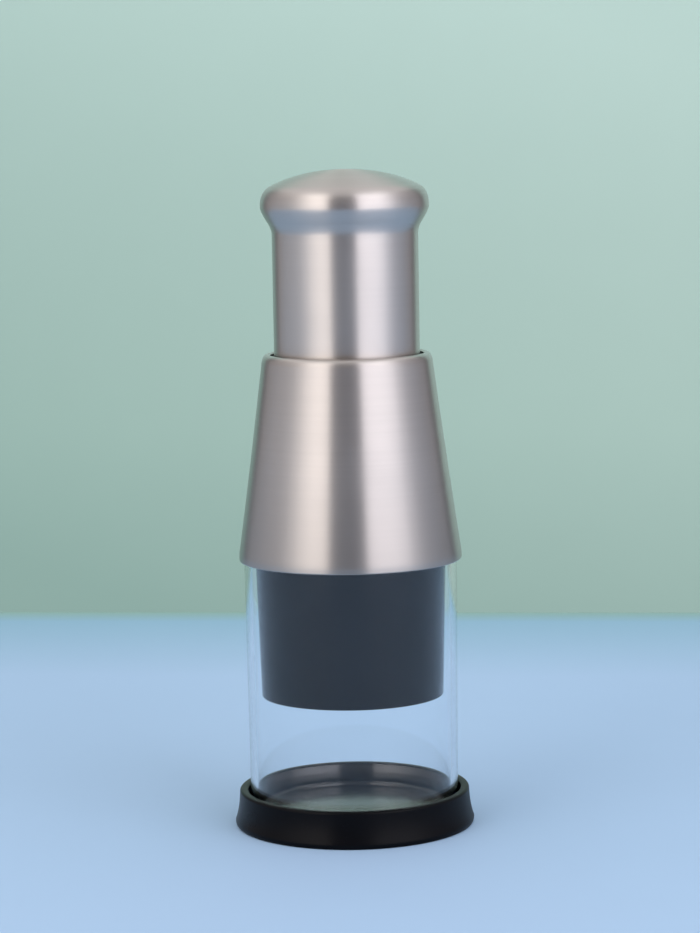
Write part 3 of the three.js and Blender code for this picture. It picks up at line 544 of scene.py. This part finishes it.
# Blade guard
# A tapered sleeve moulded in black plastic, which snaps on the frame inside the cup and hides
# the raised blade. Its collar centres it in the cup's mouth.
low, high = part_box("blade_guard")
GUARD_FOOT = low[2]
GUARD_TOP = high[2]
GUARD_COLLAR = high[0]
GUARD_WALL = 1.8 * MM
GUARD_RADIUS = GUARD_COLLAR - 1.25 * MM
GUARD_FOOT_RADIUS = GUARD_RADIUS - 1.4 * MM
COLLAR_HEIGHT = 4.2 * MM
blade_guard = turned(
    "blade_guard_moulding",
    [
        (GUARD_FOOT_RADIUS - GUARD_WALL, GUARD_FOOT, 0.5 * MM),
        (GUARD_FOOT_RADIUS, GUARD_FOOT, 0.7 * MM),
        (GUARD_RADIUS, GUARD_TOP - COLLAR_HEIGHT),
        (GUARD_COLLAR, GUARD_TOP - COLLAR_HEIGHT, 0.4 * MM),
        (GUARD_COLLAR, GUARD_TOP, 0.5 * MM),
        (GUARD_RADIUS - GUARD_WALL, GUARD_TOP),
    ],
)
guard_black = moulded_black(
    "moulded black guard plastic", "#060911",
    roughness=0.12, specular=0.16, grain=1.1 * MM, dust=0.1,
)
blade_guard.data.materials.append(guard_black)
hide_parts("blade_guard")
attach(blade_guard, "head")


# Cone shell
# Drawn from stainless sheet, brushed round the axis and hemmed at its lower edge. The shoulder
# turns in to a hole that leaves a narrow dark gap around the tube.
def brushed_steel(name, bright, dull, worn_and_shaded, worn_and_shaded_foot, worn_and_shaded_top, roughness, smudge):
    """Satin stainless steel, brushed round the axis: fine level lines that draw each highlight
    out upwards, a colour that changes towards the foot, darkened there by painted shade on the
    cone, and faint greasy patches where hands hold it.
    Real lines are about 0.05 mm apart; they are drawn 0.16 mm apart, the finest that shows."""
    material, tree, place = new_material(name)
    fine = add_node(tree, "ShaderNodeMapping", {"Vector": place, "Scale": (22, 22, 6200)})
    lines = add_node(
        tree, "ShaderNodeTexNoise", {"Vector": fine.outputs["Vector"], "Scale": 1, "Detail": 3}
    )
    coarse = add_node(tree, "ShaderNodeMapping", {"Vector": place, "Scale": (9, 9, 800)})
    bands = add_node(
        tree, "ShaderNodeTexNoise", {"Vector": coarse.outputs["Vector"], "Scale": 1, "Detail": 2}
    )
    patches = add_node(tree, "ShaderNodeTexNoise", {"Vector": place, "Scale": 26, "Detail": 4})
    tint = add_node(
        tree,
        "ShaderNodeMix",
        {"Factor": bands.outputs["Fac"], "A": linear(bright), "B": linear(dull)},
        data_type="RGBA",
    )
    # Towards the foot the colour moves to the worn one: painted shade on the cone, an evened tone
    # on the knob's tube.
    height = add_node(tree, "ShaderNodeSeparateXYZ", {"Vector": place})
    climb = add_node(
        tree,
        "ShaderNodeMapRange",
        {"Value": height.outputs["Z"], "From Min": worn_and_shaded_foot, "From Max": worn_and_shaded_top},
    )
    tone = add_node(
        tree,
        "ShaderNodeMix",
        {"Factor": climb.outputs["Result"], "A": linear(worn_and_shaded), "B": tint.outputs["Result"]},
        data_type="RGBA",
    )
    streaks = add_node(
        tree,
        "ShaderNodeMapRange",
        {"Value": lines.outputs["Fac"], "From Min": 0.3, "From Max": 0.7,
         "To Min": roughness * 0.94, "To Max": roughness * 1.06},
    )
    grease = add_node(
        tree,
        "ShaderNodeMapRange",
        {"Value": patches.outputs["Fac"], "From Min": 0.5, "From Max": 0.75, "To Max": smudge},
    )
    gloss = add_node(
        tree,
        "ShaderNodeMath",
        {0: streaks.outputs["Result"], 1: grease.outputs["Result"]},
        operation="ADD",
    )
    bump = add_node(
        tree,
        "ShaderNodeBump",
        {"Height": lines.outputs["Fac"], "Strength": 0.1, "Distance": 0.01 * MM},
    )
    around = add_node(tree, "ShaderNodeTangent", direction_type="RADIAL", axis="Z")
    shader = add_node(
        tree,
        "ShaderNodeBsdfPrincipled",
        {"Base Color": tone.outputs["Result"], "Metallic": 1, "Roughness": gloss.outputs["Value"],
         "Anisotropic": 0.8, "Anisotropic Rotation": 0.25,
         "Normal": bump.outputs["Normal"], "Tangent": around.outputs["Tangent"]},
    )
    finish_material(tree, shader)
    return material


low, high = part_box("cone_shell")
CONE_FOOT = low[2]
CONE_TOP = high[2]
CONE_RADIUS = high[0]
CONE_WALL = 0.8 * MM
HEM_INSIDE = CONE_RADIUS - 1.35 * MM
HEM_HEIGHT = 1.5 * MM
TUBE_RADIUS = 25.85 * MM
HOLE_RADIUS = TUBE_RADIUS + 1.4 * MM
HOLE_LIP = 0.8 * MM
SHOULDER_RADIUS = HOLE_RADIUS + 3.25 * MM
SHOULDER_HEIGHT = 4.1 * MM
BAND_RADIUS = CONE_RADIUS - 0.4 * MM
BAND_HEIGHT = 5 * MM
CONE_HOLLOW = 0.3 * MM
# Painted shade darkens the cone over this height above its foot.
CONE_PAINTED_SHADE_HEIGHT = 36 * MM
band = curve_points(
    (CONE_RADIUS, CONE_FOOT + HEM_HEIGHT),
    (CONE_RADIUS, CONE_FOOT + BAND_HEIGHT / 2),
    (BAND_RADIUS, CONE_FOOT + BAND_HEIGHT),
    5,
)
shoulder_start = (SHOULDER_RADIUS, CONE_TOP - SHOULDER_HEIGHT)
middle = (
    (BAND_RADIUS + SHOULDER_RADIUS) / 2 - CONE_HOLLOW,
    CONE_FOOT + (BAND_HEIGHT + CONE_TOP - SHOULDER_HEIGHT - CONE_FOOT) / 2,
)
side = curve_points(band[-1], middle, shoulder_start, 8)
shoulder = curve_points(
    shoulder_start,
    (SHOULDER_RADIUS - CONE_HOLLOW, CONE_TOP),
    (HOLE_RADIUS + HOLE_LIP, CONE_TOP),
    8,
)


def inside_of(line, wall):
    """The same line moved to its left, which is inwards where it climbs."""
    moved = []
    for i, point in enumerate(line):
        back, ahead = line[max(i - 1, 0)], line[min(i + 1, len(line) - 1)]
        along = (Vector(ahead) - Vector(back)).normalized()
        moved.append((max(point[0] - along.y * wall, 0), point[1] + along.x * wall))
    return moved


outer = [*band, *side[1:], *shoulder[1:]]
inner = inside_of(outer, CONE_WALL)
cone_shell = turned(
    "cone_shell_drawn",
    [
        *outer,
        (HOLE_RADIUS, CONE_TOP - CONE_WALL / 2),
        (HOLE_RADIUS + 0.15 * MM, CONE_TOP - CONE_WALL),
        *reversed(inner[1:]),
        (CONE_RADIUS - CONE_WALL, CONE_FOOT + HEM_HEIGHT),
        (HEM_INSIDE, CONE_FOOT + HEM_HEIGHT, 0.3 * MM),
        (HEM_INSIDE, CONE_FOOT, 0.5 * MM),
        (CONE_RADIUS, CONE_FOOT, 0.4 * MM),
    ],
)
# Painted shade darkens the cone's colour over its lowest 36 mm.
cone_shell.data.materials.append(
    brushed_steel(
        "brushed stainless cone",
        bright="#BBB6B2", dull="#B4AFAB", worn_and_shaded="#ABA6A2",
        worn_and_shaded_foot=CONE_FOOT, worn_and_shaded_top=CONE_FOOT + CONE_PAINTED_SHADE_HEIGHT, roughness=0.35, smudge=0.05,
    )
)
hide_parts("cone_shell")
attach(cone_shell, "head")


# Plunger shell
# The palm knob and its tube, drawn and bulged from one stainless tube and brushed round the
# axis. Palms leave faint patches on it, and sliding in the cone evens out the tube's sheen.
KNOB_RADIUS = TUBE_RADIUS + 3.95 * MM
SHELL_WALL = 0.7 * MM
low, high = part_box("plunger_shell")
TUBE_FOOT = low[2]
KNOB_TOP = high[2]
CROWN = 12.9 * MM
FLARE = 9.8 * MM
WIDEST = KNOB_TOP - CROWN
NECK = WIDEST - FLARE
# The line bends four times, from the tube to the waist, the widest ring, the crown's edge and
# its middle. The shares of the flare and of the crown are read from the knob's outline.
widest = (KNOB_RADIUS, WIDEST)
waist = (TUBE_RADIUS + 0.42 * (KNOB_RADIUS - TUBE_RADIUS), NECK + 0.47 * FLARE)
crown_edge = (0.87 * KNOB_RADIUS, WIDEST + 0.57 * CROWN)
knob_line = [
    (TUBE_RADIUS, TUBE_FOOT),
    (TUBE_RADIUS, NECK - 2 * MM),
    *curve_points((TUBE_RADIUS, NECK), (TUBE_RADIUS, NECK + 0.22 * FLARE), waist, 8),
    *curve_points(waist, (KNOB_RADIUS, NECK + 0.84 * FLARE), widest, 8)[1:],
    *curve_points(widest, (KNOB_RADIUS, WIDEST + 0.44 * CROWN), crown_edge, 10)[1:],
    *curve_points(crown_edge, (0.5 * KNOB_RADIUS, KNOB_TOP), (0, KNOB_TOP), 14)[1:],
]
knob_inside = inside_of(knob_line, SHELL_WALL)
knob_inside[-1] = (0, KNOB_TOP - SHELL_WALL)
plunger_shell = turned("plunger_shell_drawn", [*reversed(knob_inside), *knob_line], closed=False)
plunger_shell.data.materials.append(
    brushed_steel(
        "brushed stainless knob",
        bright="#BFBAB6", dull="#B8B3AF", worn_and_shaded="#BCB7B3",
        worn_and_shaded_foot=CONE_TOP, worn_and_shaded_top=NECK, roughness=0.36, smudge=0.05,
    )
)
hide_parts("plunger_shell")
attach(plunger_shell, "plunger")


# Pieces inside the head
# Plain moulded plastic and plated steel, hidden until the head comes off its cup. Their solids
# have the right shape, so each one only gets its material.
def moulded_plain(name, colour, shade, roughness):
    """Plain moulded plastic: an even colour, faintly mottled, with a fine spark-eroded grain,
    drawn about 0.3 mm wide so that it shows."""
    material, tree, place = new_material(name)
    cloud = add_node(tree, "ShaderNodeTexNoise", {"Vector": place, "Scale": 70, "Detail": 3})
    tint = add_node(
        tree,
        "ShaderNodeMix",
        {"Factor": cloud.outputs["Fac"], "A": linear(colour), "B": linear(shade)},
        data_type="RGBA",
    )
    grain = add_node(tree, "ShaderNodeTexNoise", {"Vector": place, "Scale": 3500, "Detail": 2})
    bump = add_node(
        tree,
        "ShaderNodeBump",
        {"Height": grain.outputs["Fac"], "Strength": 0.2, "Distance": 0.02 * MM},
    )
    shader = add_node(
        tree,
        "ShaderNodeBsdfPrincipled",
        {"Base Color": tint.outputs["Result"], "Roughness": roughness, "IOR": 1.49,
         "Normal": bump.outputs["Normal"]},
    )
    finish_material(tree, shader)
    return material


def plated_steel(name, colour, shade, roughness):
    """Plated or drawn steel: a cool bright metal with a cloudy sheen, in patches about 4 mm
    wide."""
    material, tree, place = new_material(name)
    cloud = add_node(tree, "ShaderNodeTexNoise", {"Vector": place, "Scale": 240, "Detail": 3})
    tint = add_node(
        tree,
        "ShaderNodeMix",
        {"Factor": cloud.outputs["Fac"], "A": linear(colour), "B": linear(shade)},
        data_type="RGBA",
    )
    gloss = add_node(
        tree,
        "ShaderNodeMapRange",
        {"Value": cloud.outputs["Fac"], "To Min": roughness * 0.8, "To Max": roughness * 1.3},
    )
    shader = add_node(
        tree,
        "ShaderNodeBsdfPrincipled",
        {"Base Color": tint.outputs["Result"], "Metallic": 1,
         "Roughness": gloss.outputs["Result"]},
    )
    finish_material(tree, shader)
    return material


def dress(material, *names):
    """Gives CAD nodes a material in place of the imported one."""
    for name in names:
        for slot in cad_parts[name].material_slots:
            slot.material = material


grey_plastic = moulded_plain("moulded grey polypropylene", "#C9CAC6", "#BFC0BC", 0.45)
white_acetal = moulded_plain("moulded white acetal", "#E6E4DC", "#DDDBD2", 0.35)
black_acetal = moulded_plain("moulded black acetal", "#0A0B0D", "#060708", 0.4)
zinc = plated_steel("zinc-plated steel", "#B4B6B4", "#A2A5A3", 0.3)
dress(grey_plastic, "inner_frame", "ratchet_cover", "plunger_liner", "palm_core")
dress(white_acetal, "index_nut", "pawl_ring")
dress(black_acetal, "top_guide")
dress(zinc, "spring_seat", "drive_shaft", "swivel_washer", "shaft_screw", "hub_screw")
dress(zinc, "blade_pin_1", "blade_pin_2")
for i in (1, 2, 3):
    dress(zinc, f"cover_screw_{i}", f"core_screw_{i}")


# Return spring
# Coiled from drawn stainless wire. It stands on the ratchet's cover and bears on a washer
# under the liner's plate, and closes as the knob goes down.
low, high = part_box("return_spring")
WIRE_RADIUS = 0.8 * MM
WIRE_SIDES = 12
SPRING_RADIUS = high[0] - WIRE_RADIUS
SPRING_TURNS = 12
STEPS_PER_TURN = 36
SPRING_FOOT = low[2]
SPRING_TOP = high[2]
bpy.ops.object.select_all(action="DESELECT")
bpy.ops.mesh.primitive_circle_add(
    vertices=WIRE_SIDES,
    radius=WIRE_RADIUS,
    location=(SPRING_RADIUS, 0, SPRING_FOOT + WIRE_RADIUS),
    rotation=(math.pi / 2, 0, 0),
)
return_spring = bpy.context.object
return_spring.name = "return_spring_coil"
bpy.ops.object.transform_apply(location=True, rotation=True, scale=True)
pitch = (SPRING_TOP - SPRING_FOOT - 2 * WIRE_RADIUS) / SPRING_TURNS
apply_modifier(
    return_spring,
    "SCREW",
    axis="Z",
    angle=2 * math.pi,
    screw_offset=pitch,
    iterations=SPRING_TURNS,
    steps=STEPS_PER_TURN,
    render_steps=STEPS_PER_TURN,
)
bpy.ops.object.mode_set(mode="EDIT")
bpy.ops.mesh.select_all(action="SELECT")
bpy.ops.mesh.remove_doubles(threshold=MERGE)
bpy.ops.mesh.select_all(action="DESELECT")
bpy.ops.mesh.select_non_manifold()
bpy.ops.mesh.edge_face_add()
bpy.ops.mesh.select_all(action="SELECT")
bpy.ops.mesh.normals_make_consistent(inside=False)
bpy.ops.object.mode_set(mode="OBJECT")
bpy.ops.object.shade_smooth_by_angle(angle=math.radians(40))
return_spring.data.materials.append(plated_steel("drawn spring steel", "#A6A9AC", "#94979A", 0.25))
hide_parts("return_spring")
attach(return_spring, "head")
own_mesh(return_spring)


# Zigzag blade
# One strip of hard stainless steel folded into six legs, its lower edge ground to a wedge from
# both sides. The grinding leaves a duller, scratched bevel.
def ground_blade(edge_height):
    """Polished blade steel above, and below it a duller ground bevel. Fine marks run down to
    the edge; they are drawn about 0.25 mm apart, coarser than real ones, so that they show."""
    material, tree, place = new_material("ground blade steel")
    fine = add_node(tree, "ShaderNodeMapping", {"Vector": place, "Scale": (4200, 4200, 60)})
    marks = add_node(
        tree, "ShaderNodeTexNoise", {"Vector": fine.outputs["Vector"], "Scale": 1, "Detail": 2}
    )
    height = add_node(tree, "ShaderNodeSeparateXYZ", {"Vector": place})
    bevel = add_node(
        tree,
        "ShaderNodeMapRange",
        {"Value": height.outputs["Z"], "From Min": edge_height - 0.1 * MM,
         "From Max": edge_height + 0.1 * MM, "To Min": 0.6, "To Max": 0.3},
    )
    gloss = add_node(
        tree,
        "ShaderNodeMath",
        {0: bevel.outputs["Result"], 1: marks.outputs["Fac"], 2: 0.05},
        operation="MULTIPLY_ADD",
    )
    tint = add_node(
        tree,
        "ShaderNodeMix",
        {"Factor": marks.outputs["Fac"], "A": linear("#B2B5B8"), "B": linear("#CDCFD0")},
        data_type="RGBA",
    )
    bump = add_node(
        tree,
        "ShaderNodeBump",
        {"Height": marks.outputs["Fac"], "Strength": 0.15, "Distance": 0.01 * MM},
    )
    shader = add_node(
        tree,
        "ShaderNodeBsdfPrincipled",
        {"Base Color": tint.outputs["Result"], "Metallic": 1, "Roughness": gloss.outputs["Value"],
         "Normal": bump.outputs["Normal"]},
    )
    finish_material(tree, shader)
    return material


low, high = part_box("zigzag_blade")
EDGE = low[2]
BLADE_TOP = high[2]
LEGS = 6
BLADE_THICKNESS = 0.8 * MM
BEVEL = 2.4 * MM
hub_low, hub_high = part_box("blade_hub")
HUB_RADIUS = GUARD_FOOT_RADIUS - GUARD_WALL - 0.8 * MM
FOLD_CIRCLE = HUB_RADIUS - 1.6 * MM
FOLD_REACH = HUB_RADIUS - 4.5 * MM
FOLD_WIDTH = 3.2 * MM
FOLD_BEND = 1.2 * MM
folds = []
for i in range(LEGS + 1):
    x = FOLD_REACH * (2 * i / LEGS - 1)
    y = math.sqrt(FOLD_CIRCLE**2 - x**2) * (1 if i % 2 else -1)
    folds += [(x - FOLD_WIDTH / 2, y), (x + FOLD_WIDTH / 2, y)]


def folded_strip(name, heights, thickness, thin_edge=None):
    """The zigzag line, drawn at the lowest height, raised from height to height and thickened.
    thin_edge is the share of the thickness that is left at the lowest height."""
    line = [(x, y, heights[0]) for x, y in folds]
    piece = draw_line(name, line)
    round_corners(piece, [(point, FOLD_BEND) for point in line[1:-1]], 5)
    bpy.ops.mesh.select_all(action="SELECT")
    for below, above in zip(heights, heights[1:]):
        bpy.ops.mesh.extrude_region_move(TRANSFORM_OT_translate={"value": (0, 0, above - below)})
    bpy.ops.mesh.select_all(action="SELECT")
    bpy.ops.mesh.normals_make_consistent(inside=False)
    bpy.ops.object.mode_set(mode="OBJECT")
    settings = {"thickness": thickness, "offset": 0, "use_even_offset": True}
    if thin_edge:
        body = piece.vertex_groups.new(name="full_thickness")
        raised = [v.index for v in piece.data.vertices if v.co.z > heights[0] + PICK]
        body.add(raised, 1, "ADD")
        settings.update(vertex_group=body.name, thickness_vertex_group=thin_edge)
    apply_modifier(piece, "SOLIDIFY", **settings)
    return piece


zigzag_blade = folded_strip(
    "zigzag_blade_strip", [EDGE, EDGE + BEVEL, BLADE_TOP], BLADE_THICKNESS, thin_edge=0.2
)
bpy.ops.object.shade_smooth_by_angle(angle=math.radians(20))
zigzag_blade.data.materials.append(ground_blade(EDGE + BEVEL))
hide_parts("zigzag_blade")
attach(zigzag_blade, "cutter")


# Blade hub
# A disc with a boss, moulded in black plastic. The blade's legs sit in a folded slot in its
# underside, and two cross pins hold them.
HUB_FOOT = hub_low[2]
HUB_DISC_TOP = HUB_FOOT + 8 * MM
HUB_TOP = hub_high[2]
BOSS_RADIUS = 8 * MM
SCREW_HOLE = 1.8 * MM
SOCKET_RADIUS = 4.2 * MM
SOCKET_FOOT = HUB_FOOT + 6 * MM
SLOT_WIDTH = 1.4 * MM
SLOT_FOOT = HUB_FOOT - 1 * MM
SLOT_TOP = BLADE_TOP + 0.3 * MM
blade_hub = turned(
    "blade_hub_moulding",
    [
        (SCREW_HOLE, HUB_FOOT),
        (HUB_RADIUS, HUB_FOOT, 0.6 * MM),
        (HUB_RADIUS, HUB_DISC_TOP, 1.2 * MM),
        (BOSS_RADIUS, HUB_DISC_TOP, 1.2 * MM),
        (BOSS_RADIUS, HUB_TOP, 1 * MM),
        (SOCKET_RADIUS, HUB_TOP),
        (SOCKET_RADIUS, SOCKET_FOOT),
        (SCREW_HOLE, SOCKET_FOOT),
    ],
)
slot_cutter = folded_strip("slot_cutter", [SLOT_FOOT, SLOT_TOP], SLOT_WIDTH)
apply_modifier(blade_hub, "BOOLEAN", operation="DIFFERENCE", object=slot_cutter, solver="EXACT")
bpy.data.objects.remove(slot_cutter)
blade_hub.data.materials.append(guard_black)
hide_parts("blade_hub")
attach(blade_hub, "cutter")
